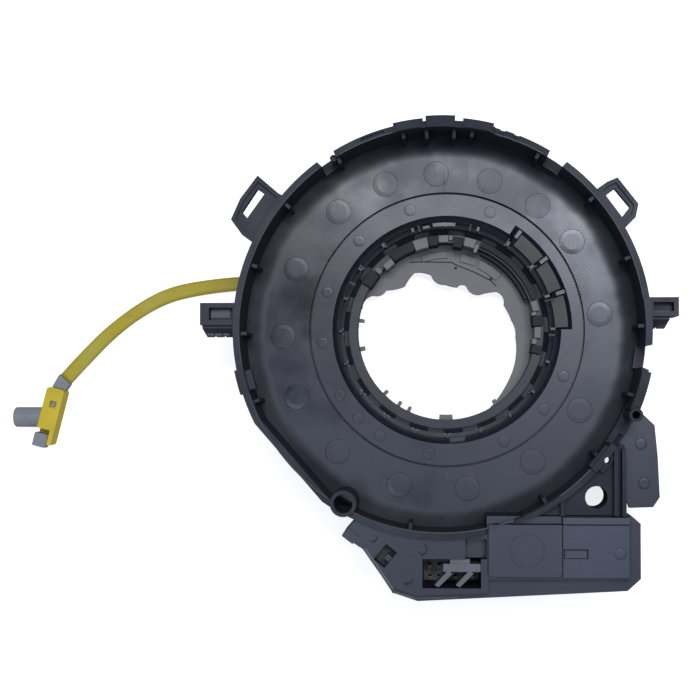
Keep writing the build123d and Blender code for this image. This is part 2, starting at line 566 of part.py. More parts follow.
# Rotor sleeve: the ring that snaps into the tube and holds the rotor in the back plate. Its bore steps
# in over a ribbed wall, a ledge and a castellated toe, and one sector is cut back for the switch's cam
sleeve_outer = tube_inner - seat_gap
sleeve_inner = tube_inner - 1.5
sleeve_ledge = tube_inner - 2.6
sleeve_toe = tube_inner - 3.8
toe_top = collar_height + 1.6
ledge_top = collar_height + 4.6
bevel_width = 1.1
flange_under = plate_under + 0.3
flange_top = plate_top - 0.3
key_span = 56.5
key_outer = flange_outer - 2.8
key_depth = 4.7
key_gussets = (18.0, 35.5, 53.0)
gusset_thick = 1.0
rib_pitch_count = 20
sleeve_rib = (sleeve_inner - sleeve_ledge + 0.2, 0.7)
toe_notch_count = 18
toe_notch_width = 4.6
toe_notch_depth = 1.0
lock_angle = 275.7
lock_size = (2.2, 4.4)
with BuildPart() as rotor_sleeve:
    turned_block([(sleeve_toe, collar_height + seat_gap), (sleeve_outer, collar_height + seat_gap),
                  (sleeve_outer, tube_top + seat_gap), (tube_radius, tube_top + seat_gap),
                  (tube_radius, flange_under), (flange_outer, flange_under), (flange_outer, flange_top),
                  (sleeve_inner + 0.5 + bevel_width, flange_top), (sleeve_inner + 0.5, flange_top - bevel_width),
                  (sleeve_inner, flange_top - 3.0), (sleeve_inner, ledge_top + 0.3), (sleeve_ledge, ledge_top),
                  (sleeve_ledge, toe_top + 1.2), (sleeve_toe, toe_top)])
    turned_block([(sleeve_inner - 1.0, flange_top - key_depth), (sleeve_inner - 0.1, flange_top - key_depth),
                  (key_outer, flange_top + 0.01), (key_outer, flange_top + 1.0), (sleeve_inner - 1.0, flange_top + 1.0)],
                 start=0.0, sweep=key_span, mode=Mode.SUBTRACT)
    for angle in key_gussets:
        with BuildSketch(Plane.XZ.rotated((0, 0, angle))) as gusset:
            with BuildLine():
                Polyline([(sleeve_inner, flange_top - key_depth - 0.4), (sleeve_inner + 1.8, flange_top - 0.4),
                          (key_outer + 0.3, flange_top - 0.4), (sleeve_inner + 0.4, flange_top - key_depth - 0.4)],
                         close=True)
            make_face()
        extrude(gusset.sketch, amount=gusset_thick / 2, both=True)
    with PolarLocations(sleeve_ledge + sleeve_rib[0] / 2, rib_pitch_count, start_angle=0.5):
        with Locations((0, 0, ledge_top - 0.2)):
            Box(*sleeve_rib, flange_top - 2.6 - ledge_top, align=(Align.CENTER, Align.CENTER, Align.MIN))
    with PolarLocations(sleeve_toe + 0.4, toe_notch_count, start_angle=4.0):
        with Locations((0, 0, toe_top - toe_notch_depth)):
            Box(1.6, toe_notch_width, toe_notch_depth + 1.4, align=(Align.CENTER, Align.CENTER, Align.MIN),
                mode=Mode.SUBTRACT)
    with Locations(Location((*polar(sleeve_inner + 0.2, lock_angle), flange_top - 2.8), (0, 0, lock_angle))):
        Box(*lock_size, 4.0, align=(Align.CENTER, Align.CENTER, Align.MIN), mode=Mode.SUBTRACT)
rotor_sleeve.part.label = "rotor_sleeve"
export_step(rotor_sleeve.part, "parts/rotor_sleeve.step")

# Wound flat cable: a plain spiral of half turns between the rotor tube and the drum
coil_turns = 2
coil_thick = 0.6
carrier_room = 3.8
coil_room = 2.5
coil_start = tube_radius + carrier_room
coil_step = (drum_inner - tail_thick - coil_room - coil_start) / (2 * coil_turns)
coil_low = disc_thick + 0.3
coil_high = plate_under - lip_drop - 0.3
with BuildPart() as flat_cable:
    with BuildSketch(Plane.XY.offset(coil_low)) as coil_face:
        for half in range(2 * coil_turns):
            centre = (0.0 if half % 2 == 0 else coil_step, 0.0)
            middle = coil_start + half * coil_step
            begin = 180.0 * (half % 2)
            with BuildLine():
                far = CenterArc(centre, middle + coil_thick / 2, begin, 180.0)
                near = CenterArc(centre, middle - coil_thick / 2, begin, 180.0)
                Line(far @ 0, near @ 0)
                Line(far @ 1, near @ 1)
            make_face()
    extrude(coil_face.sketch, amount=coil_high - coil_low)
flat_cable.part.label = "flat_cable"
export_step(flat_cable.part, "parts/flat_cable.step")

# Rotor carrier: moulded contacts that join the cable's inner end to the wheel side
carrier_span = 48.0
carrier_top = plate_under - 3.0
contact_count = 5
contact_pitch = 9.0
with BuildPart() as rotor_carrier:
    arc_block(tube_radius + seat_gap, coil_start - 0.4, -carrier_span / 2, carrier_span / 2, disc_thick, carrier_top)
    for step in range(contact_count):
        angle = contact_pitch * (step - (contact_count - 1) / 2)
        middle = (tube_radius + seat_gap + coil_start - 0.4) / 2
        with Locations(Location((*polar(middle, angle), carrier_top - 0.1), (0, 0, angle))):
            Box(0.6, 2.0, 1.2, align=(Align.CENTER, Align.CENTER, Align.MIN))
rotor_carrier.part.label = "rotor_carrier"
export_step(rotor_carrier.part, "parts/rotor_carrier.step")

# Hub plate: the wheel-side ring whose wavy crescent reaches in under the bore. The wave is angles and
# reaches inwards from the ring's inner edge
hub_inner = bore_radius + 0.6
hub_thick = 1.8
hub_drop = 3.4
hub_seat = 1.4
hub_rim = hub_outer - 5.2
crescent_wave = ((-60.0, 0.5), (-46.0, 2.2), (-31.6, 3.4), (-17.4, 4.5), (-4.0, 5.6), (5.0, 5.9), (10.1, 6.5),
                 (18.2, 6.9), (25.2, 7.3), (29.5, 6.5), (38.8, 7.0), (42.4, 8.6), (48.3, 11.2), (58.2, 12.1),
                 (65.9, 11.1), (70.7, 11.1), (76.0, 12.3), (84.0, 12.3), (90.9, 11.9), (101.6, 10.7), (104.4, 8.6),
                 (111.5, 7.1), (117.5, 6.2), (124.0, 6.9), (131.5, 7.9), (140.1, 6.3), (144.6, 4.6), (149.0, 4.3),
                 (153.0, 2.2), (157.0, 0.8), (164.2, 0.7))
nub_reach = 2.0
nub_angles = ((172.0, 2.5), (191.0, 3.0), (225.0, 2.5), (237.0, 2.5), (244.5, 2.5), (270.0, 9.0), (305.0, 3.0))
with BuildPart() as hub_plate:
    turned_block([(hub_inner, -hub_drop), (hub_outer, -hub_drop), (hub_outer, 0), (hub_rim, 0), (hub_rim, -hub_seat),
                  (hub_inner + 1.0, -hub_seat), (hub_inner + 1.0, 0), (hub_inner, 0)])
    with BuildSketch(Plane.XY.offset(-hub_drop)) as crescent:
        with BuildLine():
            edge = [polar(hub_inner - reach, angle) for angle, reach in crescent_wave]
            for start, middle, end in zip(edge[::2], edge[1::2], edge[2::2]):
                ThreePointArc(start, middle, end)
            back = CenterArc((0, 0), hub_inner + 0.4, crescent_wave[0][0], crescent_wave[-1][0] - crescent_wave[0][0])
            Line(edge[0], back @ 0)
            Line(edge[-1], back @ 1)
        make_face()
    extrude(crescent.sketch, amount=hub_thick)
    for angle, width in nub_angles:
        arc_block(hub_inner - nub_reach, hub_inner + 0.3, angle - width / 2, angle + width / 2, -hub_drop,
                  hub_thick - hub_drop)
hub_plate.part.label = "hub_plate"
export_step(hub_plate.part, "parts/hub_plate.step")

# Wheel connector: the socket towards the wheel, with its pins
socket_wall = 1.3
socket_floor = pad_level - 1.6
strip_thick = 0.8
pin_pitch = 2.5
row_pitch = 2.4
pin_recess = 1.1
latch_slot = (4.0, 2.0, 4.0)


def socket(place, size):
    """Open socket housing that hangs from the rotor disc to the floor level."""
    (x, y), (length, width) = place, size
    with BuildPart() as housing:
        box_block((x - length / 2, x + length / 2), (y - width / 2, y + width / 2), (floor_level, pad_level))
        box_block((x - length / 2 + socket_wall, x + length / 2 - socket_wall),
                  (y - width / 2 + socket_wall, y + width / 2 - socket_wall), (floor_level - 1.0, socket_floor),
                  mode=Mode.SUBTRACT)
        box_block((x - latch_slot[0] / 2, x + latch_slot[0] / 2), (y - width / 2 - 0.5, y - width / 2 + latch_slot[1]),
                  (floor_level - 1.0, floor_level + latch_slot[2]), mode=Mode.SUBTRACT)
    return housing.part


def pin_rows(place, counts):
    """Two rows of square pins on a carrier strip inside a socket."""
    with BuildPart() as pins:
        with Locations((*place, socket_floor)):
            Box(pin_pitch * counts[0] - 0.6, row_pitch * (counts[1] - 1) + 1.2, strip_thick,
                align=(Align.CENTER, Align.CENTER, Align.MAX))
        with Locations((*place, floor_level + pin_recess)):
            with GridLocations(pin_pitch, row_pitch, *counts):
                Box(pin_size, pin_size, socket_floor - strip_thick / 2 - floor_level - pin_recess,
                    align=(Align.CENTER, Align.CENTER, Align.MIN))
    return pins.part


with BuildPart() as wheel_connector:
    add(socket(wheel_place, wheel_size))
wheel_connector.part.label = "wheel_connector"
export_step(wheel_connector.part, "parts/wheel_connector.step")
with BuildPart() as wheel_pins:
    add(pin_rows(wheel_place, (8, 2)))
wheel_pins.part.label = "wheel_pins"
export_step(wheel_pins.part, "parts/wheel_pins.step")
with BuildPart() as horn_connector:
    add(socket(aux_place, aux_size))
horn_connector.part.label = "horn_connector"
export_step(horn_connector.part, "parts/horn_connector.step")
with BuildPart() as horn_pins:
    add(pin_rows(aux_place, (3, 2)))
horn_pins.part.label = "horn_pins"
export_step(horn_pins.part, "parts/horn_pins.step")

# Airbag lead: flat two-wire sleeve from its outlet on the rotor to the squib plug
lead_width = 4.3
lead_height = 2.3
lead_level = floor_level + lead_height / 2 + 0.05
lead_route = [(outlet_x[0], outlet_y), (-52.6, 15.0), (-62.4, 14.5), (-72.4, 13.3), (-81.4, 11.3), (-90.0, 6.7),
              (-98.5, 0.2), (-105.8, -7.2), (-111.4, -13.3)]
plug_turn = -104.3
plug_place = (-113.1, -16.1)

with BuildPart() as lead_outlet:
    box_block(outlet_x, (outlet_y - outlet_width / 2, outlet_y + outlet_width / 2), (floor_level, pad_level))
    box_block((outlet_x[1] - 2.4, outlet_x[1] + 1.0), (outlet_y - lead_width / 2 - 0.2, outlet_y + lead_width / 2 + 0.2),
              (floor_level - 1.0, lead_level + lead_height), mode=Mode.SUBTRACT)
    fillet(lead_outlet.edges().filter_by(Axis.Z).sort_by(Axis.X)[:2], 1.0)
lead_outlet.part.label = "lead_outlet"
export_step(lead_outlet.part, "parts/lead_outlet.step")


def corner_radii(route, share=0.45):
    """Radius of the arc at each corner of a route, from its runs and its turn."""
    radii = []
    for before, here, after in zip(route, route[1:], route[2:]):
        run_in = Vector(here[0] - before[0], here[1] - before[1], 0)
        run_out = Vector(after[0] - here[0], after[1] - here[1], 0)
        turn = run_in.get_angle(run_out)
        radii.append(share * min(run_in.length, run_out.length) / tan(radians(turn / 2)))
    return radii


lead_radii = corner_radii(lead_route)
print("lead radii", [round(radius, 1) for radius in lead_radii])
with BuildPart() as airbag_lead:
    with BuildLine(Plane.XY.offset(lead_level)) as lead_line:
        FilletPolyline(*lead_route, radius=lead_radii)
    lead_path = lead_line.wires()[0]
    with BuildSketch(Plane(origin=lead_path @ 0, x_dir=(0, 0, 1), z_dir=lead_path % 0)) as lead_section:
        Rectangle(lead_height, lead_width)
        chamfer(lead_section.vertices(), lead_height / 3)
    sweep(lead_section.sketch, path=lead_path)
airbag_lead.part.label = "airbag_lead"
print("lead volume", round(airbag_lead.part.volume, 1),
      "section by length", round(lead_section.sketch.area * lead_path.length, 1),
      "length", round(lead_path.length, 1))
export_step(airbag_lead.part, "parts/airbag_lead.step")

# Squib plug: yellow body, grey barrel with its contacts, boot at the lead and the slide-in lock
body_length = 16.6
body_width = 5.2
body_height = 7.2
barrel_radius = 2.9
barrel_x = (-126.0, -116.6)
barrel_centre = (-24.4, floor_level + 3.5)
lock_travel = 1.1
lock_width = 4.0
lock_u = (13.6, 17.6)
plug_plane = Plane(origin=(*plug_place, floor_level), x_dir=(*polar(1.0, plug_turn), 0), z_dir=(0, 0, 1))
boot_height = 3.4

with BuildPart() as plug_body:
    with BuildSketch(plug_plane) as body_face:
        with Locations((body_length / 2, 0)):
            RectangleRounded(body_length, body_width, 1.0)
    extrude(body_face.sketch, amount=body_height)
    with BuildSketch(plug_plane.offset(2.4)) as lock_slot:
        with Locations((lock_u[0] - lock_travel - 0.3 + 4.0, -0.9)):
            Rectangle(8.0, lock_width + 0.4)
    extrude(lock_slot.sketch, amount=body_height, mode=Mode.SUBTRACT)
    with BuildSketch(plug_plane.offset(body_height - 1.2)) as latch_hole:
        with Locations((4.7, 0.3)):
            Rectangle(1.9, 1.9)
    extrude(latch_hole.sketch, amount=3.0, mode=Mode.SUBTRACT)
    with Locations(Location((barrel_x[1], *barrel_centre), (0, -90, 0))):
        Cylinder(barrel_radius + seat_gap, 6.0, align=(Align.CENTER, Align.CENTER, Align.MIN), mode=Mode.SUBTRACT)
plug_body.part.label = "plug_body"
export_step(plug_body.part, "parts/plug_body.step")

lead_end = lead_path @ 1
lead_along = lead_path % 1
lead_across = Vector(-lead_along.Y, lead_along.X, 0) * (lead_width / 2)
body_across = Vector(*polar(body_width / 2 - 0.5, plug_turn + 90), 0)
body_end = Vector(*plug_place, 0)
boot_points = (lead_end + lead_across, lead_end - lead_across, body_end - body_across, body_end + body_across)
with BuildPart() as lead_boot:
    outline_block([(point.X, point.Y) for point in boot_points], floor_level, floor_level + boot_height)
lead_boot.part.label = "lead_boot"
export_step(lead_boot.part, "parts/lead_boot.step")

with BuildPart() as squib_plug:
    with Locations(Location((barrel_x[1], *barrel_centre), (0, -90, 0))):
        Cylinder(barrel_radius, barrel_x[1] - barrel_x[0], align=(Align.CENTER, Align.CENTER, Align.MIN))
    chamfer(squib_plug.edges().filter_by(GeomType.CIRCLE).sort_by(Axis.X)[0], 0.5)
    with Locations(Location((barrel_x[0] + 6.0, *barrel_centre), (0, -90, 0))):
        Cylinder(barrel_radius - 0.8, 8.0, align=(Align.CENTER, Align.CENTER, Align.MIN), mode=Mode.SUBTRACT)
squib_plug.part.label = "squib_plug"
export_step(squib_plug.part, "parts/squib_plug.step")

with BuildPart() as squib_contacts:
    with Locations((barrel_x[0] + 6.0, *barrel_centre)):
        Box(0.6, 3.2, 1.4, align=(Align.MAX, Align.CENTER, Align.CENTER))
    with Locations((barrel_x[0] + 5.5, *barrel_centre)):
        with GridLocations(1.0, 1.6, 1, 2):
            Box(3.6, 0.6, 0.6, align=(Align.MAX, Align.CENTER, Align.CENTER))
squib_contacts.part.label = "squib_contacts"
export_step(squib_contacts.part, "parts/squib_contacts.step")

with BuildPart() as squib_lock:
    with BuildSketch(plug_plane.offset(2.4 + 0.3)) as lock_face:
        with Locations(((lock_u[0] + lock_u[1]) / 2, -0.9)):
            Rectangle(lock_u[1] - lock_u[0], lock_width)
    extrude(lock_face.sketch, amount=body_height - 2.4 - 0.6)
    fillet(squib_lock.edges().filter_by(Axis.Z), 0.4)
squib_lock.part.label = "squib_lock"
export_step(squib_lock.part, "parts/squib_lock.step")
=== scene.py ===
import math

import bmesh
import bpy
from mathutils import Matrix, Vector


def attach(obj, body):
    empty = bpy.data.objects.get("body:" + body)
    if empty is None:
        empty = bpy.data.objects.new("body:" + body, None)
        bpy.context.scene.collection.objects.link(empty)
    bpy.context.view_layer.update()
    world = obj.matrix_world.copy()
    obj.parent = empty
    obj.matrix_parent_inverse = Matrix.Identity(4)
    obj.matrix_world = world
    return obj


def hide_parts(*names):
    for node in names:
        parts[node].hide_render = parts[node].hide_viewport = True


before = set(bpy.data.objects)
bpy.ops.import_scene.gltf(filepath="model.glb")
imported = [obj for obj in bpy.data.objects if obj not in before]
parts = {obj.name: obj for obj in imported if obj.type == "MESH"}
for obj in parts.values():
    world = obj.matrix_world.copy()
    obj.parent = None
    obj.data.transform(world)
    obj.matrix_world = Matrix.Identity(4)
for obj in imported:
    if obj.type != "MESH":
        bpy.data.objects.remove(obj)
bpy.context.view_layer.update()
scene = bpy.context.scene
MM = 0.001

# Camera: a short telephoto lens about 48 cm above the table, where the part lies on its wheel side. It leans
# three degrees, so that the far wall of the bore shows.
camera = bpy.data.objects.new("camera", bpy.data.cameras.new("camera"))
scene.collection.objects.link(camera)
scene.camera = camera
camera.data.sensor_width = 36.0
camera.data.lens = 84.03
camera.data.clip_start = 0.01
camera.matrix_world = Matrix(((0.998744, 0.001287, 0.050087, -0.00399),
                              (0.0, 0.99967, -0.025695, -0.0171),
                              (-0.050104, 0.025663, 0.998414, 0.468),
                              (0.0, 0.0, 0.0, 1.0)))


# Airbag lead: two wires in a flat yellow sleeve of soft vinyl. It comes out of the rotor under the case,
# lies on the table and ends in the igniter plug. The sleeve is dull, ribbed by its wires and a little grimy.
class Level:
    """One value in a finish, so that masks are written as sums and products."""

    def __init__(self, finish, socket):
        self.finish, self.socket = finish, socket

    def __add__(self, other):
        return self.finish.math("ADD", self, other)

    __radd__ = __add__

    def __mul__(self, other):
        return self.finish.math("MULTIPLY", self, other)

    __rmul__ = __mul__

    def __sub__(self, other):
        return self.finish.math("SUBTRACT", self, other)

    def __rsub__(self, other):
        return self.finish.math("SUBTRACT", other, self)


class Finish:
    """A material on one Principled shader, built node by node."""

    def __init__(self, name, place="Object", **fixed):
        self.material = bpy.data.materials.new(name)
        self.material.use_nodes = True
        self.tree = self.material.node_tree
        self.shader = self.tree.nodes["Principled BSDF"]
        for socket, value in fixed.items():
            self.shader.inputs[socket.replace("_", " ")].default_value = value
        self.place = self.node("ShaderNodeTexCoord")[place]

    def node(self, kind, settings=None, **inputs):
        """A node whose settings are set before its sockets; gives its outputs by name."""
        made = self.tree.nodes.new(kind)
        for key, value in (settings or {}).items():
            setattr(made, key, value)
        for key, value in inputs.items():
            self.fill(made, key.replace("_", " "), value)
        return {socket.name: Level(self, socket) for socket in reversed(made.outputs) if socket.enabled}

    def fill(self, made, key, value):
        """Sets or links one socket, named by its label, or by its number as in_0."""
        if key.startswith("in "):
            socket = made.inputs[int(key[3:])]
        else:
            socket = next(s for s in made.inputs if s.name == key and s.enabled)
        if isinstance(value, Level):
            self.tree.links.new(value.socket, socket)
        else:
            socket.default_value = value

    def math(self, operation, first, second=0.0):
        return self.node("ShaderNodeMath", {"operation": operation}, in_0=first, in_1=second)["Value"]

    def noise(self, scale, detail=3.0, rough=0.55, place=None):
        return self.node("ShaderNodeTexNoise", None, Vector=place or self.place, Scale=scale, Detail=detail,
                         Roughness=rough)["Fac"]

    def stretched(self, factors):
        return self.node("ShaderNodeMapping", None, Vector=self.place, Scale=factors)["Vector"]

    def band(self, value, low, high, start=0.0, end=1.0):
        return self.node("ShaderNodeMapRange", {"interpolation_type": "SMOOTHSTEP"}, Value=value,
                         From_Min=low, From_Max=high, To_Min=start, To_Max=end)["Result"]

    def span(self, value, low, high):
        """A band whose two limits are lengths in mm."""
        return self.band(value, low * MM, high * MM)

    def mix(self, factor, first, second):
        return self.node("ShaderNodeMix", {"data_type": "RGBA"}, Factor=factor, A=first, B=second)["Result"]

    def bump(self, height, strength, distance):
        return self.node("ShaderNodeBump", None, Height=height, Strength=strength,
                         Distance=distance)["Normal"]

    def feed(self, **links):
        for socket, value in links.items():
            self.fill(self.shader, socket.replace("_", " "), value)
        return self.material


lead_level = -7.8 * MM
lead_half_width = 2.15 * MM
lead_half_height = 1.12 * MM
lead_squareness = 0.75
lead_dip, lead_dip_width = 0.26, 0.30
lead_pinch, lead_pinch_length = 0.05, 0.011
lead_map_length = 0.02
lead_route = [(-0.044, 0.015), (-0.0526, 0.015), (-0.0624, 0.0145), (-0.0724, 0.0133), (-0.0814, 0.0113),
              (-0.090, 0.0067), (-0.0985, 0.0002), (-0.1058, -0.0072), (-0.1114, -0.0133)]
lead_line = bpy.data.curves.new("lead_line", "CURVE")
lead_line.dimensions = "3D"
lead_spline = lead_line.splines.new("NURBS")
lead_spline.points.add(len(lead_route) - 1)
for point, (x, y) in zip(lead_spline.points, lead_route):
    point.co = (x, y, lead_level, 1.0)
lead_spline.order_u = 3
lead_spline.use_endpoint_u = True
lead_spline.resolution_u = 12
lead_guide = bpy.data.objects.new("lead_guide", lead_line)
scene.collection.objects.link(lead_guide)
lead_mesh = bpy.data.meshes.new_from_object(lead_guide.evaluated_get(bpy.context.evaluated_depsgraph_get()))
lead_path = [vertex.co.copy() for vertex in lead_mesh.vertices]
bpy.data.objects.remove(lead_guide)


def sleeve_section(around, slack):
    """Outline of the flat sleeve at an angle around it: rounded edges and a dip between the two wires."""
    across = math.cos(around)
    up = math.copysign(abs(math.sin(around)) ** lead_squareness, math.sin(around))
    dip = 1.0 - lead_dip * math.exp(-(across / lead_dip_width) ** 2)
    return across * lead_half_width * slack, up * lead_half_height * dip


def swept_sleeve(path, sides=28):
    """The sleeve's skin along the route, closed at both ends, with a map that runs along and around it."""
    work = bmesh.new()
    layer = work.loops.layers.uv.new("UVMap")
    rings, run, travelled = [], [], 0.0
    for index, point in enumerate(path):
        ahead = path[min(index + 1, len(path) - 1)] - path[max(index - 1, 0)]
        aside = Vector((-ahead.y, ahead.x, 0.0)).normalized()
        if index:
            travelled += (point - path[index - 1]).length
        run.append(travelled)
        slack = 1.0 - lead_pinch * math.sin(travelled / lead_pinch_length) ** 2
        ring = []
        for side in range(sides):
            across, up = sleeve_section(2 * math.pi * side / sides, slack)
            ring.append(work.verts.new(point + aside * across + Vector((0.0, 0.0, up))))
        rings.append(ring)
    for index in range(len(rings) - 1):
        for side in range(sides):
            after = (side + 1) % sides
            face = work.faces.new((rings[index][side], rings[index][after], rings[index + 1][after],
                                   rings[index + 1][side]))
            face.smooth = True
            corners = ((run[index], side), (run[index], side + 1), (run[index + 1], side + 1),
                       (run[index + 1], side))
            for loop, (along, turn) in zip(face.loops, corners):
                loop[layer].uv = (along / lead_map_length, turn / sides)
    work.faces.new(rings[0])
    work.faces.new(list(reversed(rings[-1])))
    bmesh.ops.recalc_face_normals(work, faces=work.faces)
    mesh = bpy.data.meshes.new("lead_sleeve")
    work.to_mesh(mesh)
    work.free()
    return mesh


lead_yellow = Finish("lead_yellow", place="UV", IOR=1.46)
lead_turn = lead_yellow.node("ShaderNodeSeparateXYZ", None, Vector=lead_yellow.place)["Y"]
# Painted light: the top of the sleeve is a brighter, deeper yellow than its sides and underside.
lead_lit_top = lead_yellow.band(lead_yellow.math("SINE", lead_turn * (2 * math.pi)), 0.15, 0.95)
lead_fibre = lead_yellow.noise(9.0, 3.0, 0.6, lead_yellow.stretched((0.6, 9.0, 1.0)))
lead_cloud = lead_yellow.noise(1.6, 3.0, 0.5)
lead_soil = lead_yellow.band(lead_yellow.noise(5.0, 4.0, 0.7), 0.56, 0.74)
lead_tint = lead_yellow.mix(lead_lit_top, (0.40, 0.34, 0.055, 1.0), (0.56, 0.43, 0.014, 1.0))
lead_tint = lead_yellow.mix(lead_yellow.band(lead_cloud, 0.42, 0.66), lead_tint, (0.55, 0.46, 0.055, 1.0))
lead_tint = lead_yellow.mix(lead_soil * 0.35, lead_tint, (0.17, 0.14, 0.03, 1.0))
lead_yellow.feed(Base_Color=lead_tint, Roughness=lead_fibre * 0.16 + lead_soil * 0.12 + 0.36,
                 Normal=lead_yellow.bump(lead_fibre + lead_cloud * 2.0, 0.35, 0.0002))
lead_mesh = swept_sleeve(lead_path)
lead_mesh.materials.append(lead_yellow.material)
lead_sleeve = bpy.data.objects.new("lead_sleeve", lead_mesh)
scene.collection.objects.link(lead_sleeve)
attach(lead_sleeve, "rotor")
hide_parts("airbag_lead")

# Table and light: a white sheet that shows pure white to the camera, a pale room, one soft window-like
# lamp beyond the top edge that lays a sheen on the back plate, and three weak fills. All lamps face the part.
floor_level, floor_width = -9.0 * MM, 6.0
sheet_white = (0.9, 0.9, 0.9, 1.0)
glow_white, glow_strength = (1.0, 1.0, 1.0, 1.0), 0.72
room_blue, room_strength = (0.80, 0.87, 1.0, 1.0), 0.34
lamp_height = 0.70
fill_blue = (0.66, 0.76, 1.0)
bpy.ops.mesh.primitive_plane_add(size=floor_width, location=(0.0, 0.0, floor_level))
table = bpy.context.object
table.name = "table"
table_white = bpy.data.materials.new("table_white")
table_white.use_nodes = True
nodes, links = table_white.node_tree.nodes, table_white.node_tree.links
nodes.clear()
surface = nodes.new("ShaderNodeOutputMaterial")
seen_or_lit = nodes.new("ShaderNodeMixShader")
sheet = nodes.new("ShaderNodeBsdfDiffuse")
sheet.inputs["Color"].default_value = sheet_white
glow = nodes.new("ShaderNodeEmission")
glow.inputs["Color"].default_value = glow_white
glow.inputs["Strength"].default_value = glow_strength
ray_kind = nodes.new("ShaderNodeLightPath")
lit_sheet = nodes.new("ShaderNodeAddShader")
links.new(sheet.outputs[0], lit_sheet.inputs[0])
links.new(glow.outputs[0], lit_sheet.inputs[1])
links.new(ray_kind.outputs["Is Camera Ray"], seen_or_lit.inputs["Fac"])
links.new(sheet.outputs[0], seen_or_lit.inputs[1])
links.new(lit_sheet.outputs[0], seen_or_lit.inputs[2])
links.new(seen_or_lit.outputs[0], surface.inputs["Surface"])
table.data.materials.append(table_white)

room = bpy.data.worlds.new("room")
scene.world = room
room.use_nodes = True
room_air = room.node_tree.nodes["Background"]
room_air.inputs["Color"].default_value = room_blue
room_air.inputs["Strength"].default_value = room_strength
scene.view_settings.view_transform = "Standard"

for name, x, y, size, power, tint in (
        ("lamp_far", 0.02, 0.155, (0.22, 0.08), 1.8, (0.88, 0.905, 1.0)),
        ("lamp_right", 0.165, 0.085, (0.10, 0.10), 0.60, (0.78, 0.86, 1.0)),
        ("lamp_near", -0.115, -0.11, (0.10, 0.10), 0.35, fill_blue),
        ("lamp_low", 0.105, -0.110, (0.17, 0.09), 0.23, fill_blue)):
    lamp = bpy.data.lights.new(name, "AREA")
    lamp.shape = "RECTANGLE"
    lamp.size, lamp.size_y = size
    lamp.energy = power
    lamp.color = tint
    holder = bpy.data.objects.new(name, lamp)
    scene.collection.objects.link(holder)
    holder.location = (x, y, lamp_height)
    holder.rotation_euler = (-holder.location).to_track_quat("-Z", "Y").to_euler()


# Case: back plate, skirt, ears, clips and screw bracket in one injection moulding of black polyester. The
# steel mould leaves a half gloss with cloudy flow patches, fine grain, ejector marks and a little dust.
skirt_centre = (-1.5, -0.6)
matt_and_shadow_ragged, matt_and_shadow_depth = 1.6, 0.2
beyond_skirt = (57.5, 56.5)
sill_inside, sill_outside, sill_foot = (52.0, 53.0), (58.5, 57.5), (20.8, 21.6)
rim_heights = (27.0, 33.0)
rim_black = (0.012, 0.0135, 0.023, 1.0)
scuff_grey, dust_grey = (0.16, 0.16, 0.17, 1.0), (0.34, 0.33, 0.31, 1.0)
wall_dulling = 0.34
grain_strength, grain_height = 0.08, 0.00008


